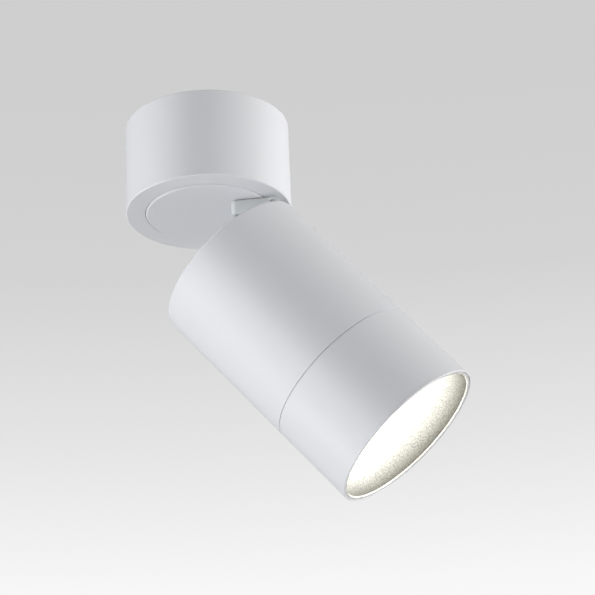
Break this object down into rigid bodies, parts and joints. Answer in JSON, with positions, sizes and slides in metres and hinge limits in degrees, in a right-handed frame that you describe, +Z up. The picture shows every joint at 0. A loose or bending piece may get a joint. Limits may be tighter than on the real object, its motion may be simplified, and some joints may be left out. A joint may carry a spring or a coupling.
{
  "type": "surface mounted ceiling spotlight",
  "caption": "White ceiling spotlight: a round canopy, a swivel disc with a U-shaped arm, and a cylindrical head that tilts on a hinge, with a dimpled reflector bowl.",
  "frame": {"origin": "centre of the mounting plate's ceiling face", "axes": "+Z up, out of the ceiling face; +X towards the side that the head leans to; Y along the tilt hinge"},
  "size_m": [0.1797, 0.09, 0.2189],
  "materials": {
    "white_coat_aluminium": "fine matt white powder coat on aluminium",
    "white_coat_steel": "fine matt white powder coat on steel",
    "zinc_steel": "zinc-plated sheet steel",
    "screw_steel": "zinc-plated steel screw",
    "white_screw": "steel, painted white",
    "spring_steel": "bright spring steel",
    "acetal": "natural acetal",
    "white_plastic": "moulded white plastic",
    "cast_aluminium": "bare die-cast aluminium",
    "board_aluminium": "white solder mask on a metal-core board",
    "phosphor": "phosphor layer in silicone; glows white when lit",
    "grey_pad": "heat-conducting silicone pad",
    "grey_rubber": "soft grey rubber",
    "bowl_aluminium": "anodised, finely dimpled, satin"
  },
  "bodies": {
    "canopy": {"mounting_plate": "zinc_steel", "earth_screw": "screw_steel", "canopy_shell": "white_coat_aluminium", "canopy_lock_screw": "screw_steel", "carrier_plate": "zinc_steel", "carrier_screws": "screw_steel", "stop_pin": "screw_steel", "glide_washer_lower": "acetal", "glide_washer_upper": "acetal", "driver_tray": "zinc_steel", "tray_screws": "screw_steel", "led_driver": "white_plastic", "driver_screws": "screw_steel", "terminal_block": "white_plastic", "block_screws": "screw_steel", "cable_clamp": "white_plastic", "clamp_screws": "screw_steel"},
    "turntable": {"swivel_disc": "white_coat_aluminium", "tab_washer": "zinc_steel", "spring_washer": "spring_steel", "swivel_nut": "zinc_steel", "arm_bracket": "white_coat_steel", "arm_screws": "white_screw", "hinge_bolt": "white_screw", "hinge_nut": "white_screw", "hinge_washer_front": "acetal", "hinge_washer_back": "acetal"},
    "head": {"tilt_knuckle": "white_coat_aluminium", "foot_screws": "white_screw", "head_housing": "white_coat_aluminium", "lead_grommet": "grey_rubber", "heat_sink": "cast_aluminium", "sink_screw": "white_screw", "thermal_pad": "grey_pad", "led_board": "board_aluminium", "led_emitter": "phosphor", "chip_holder": "white_plastic", "holder_screws": "screw_steel", "reflector": "bowl_aluminium", "front_barrel": "white_coat_aluminium"}
  },
  "joints": [
    {"name": "swivel", "type": "hinge", "parent": "canopy", "child": "turntable", "pos_m": [0, 0, -0.052], "axis": [0, 0, 1], "range_deg": [-165, 165]},
    {"name": "tilt", "type": "hinge", "parent": "turntable", "child": "head", "pos_m": [0.0365, 0, -0.0572], "axis": [0, -1, 0], "range_deg": [-40, 15]}
  ]
}
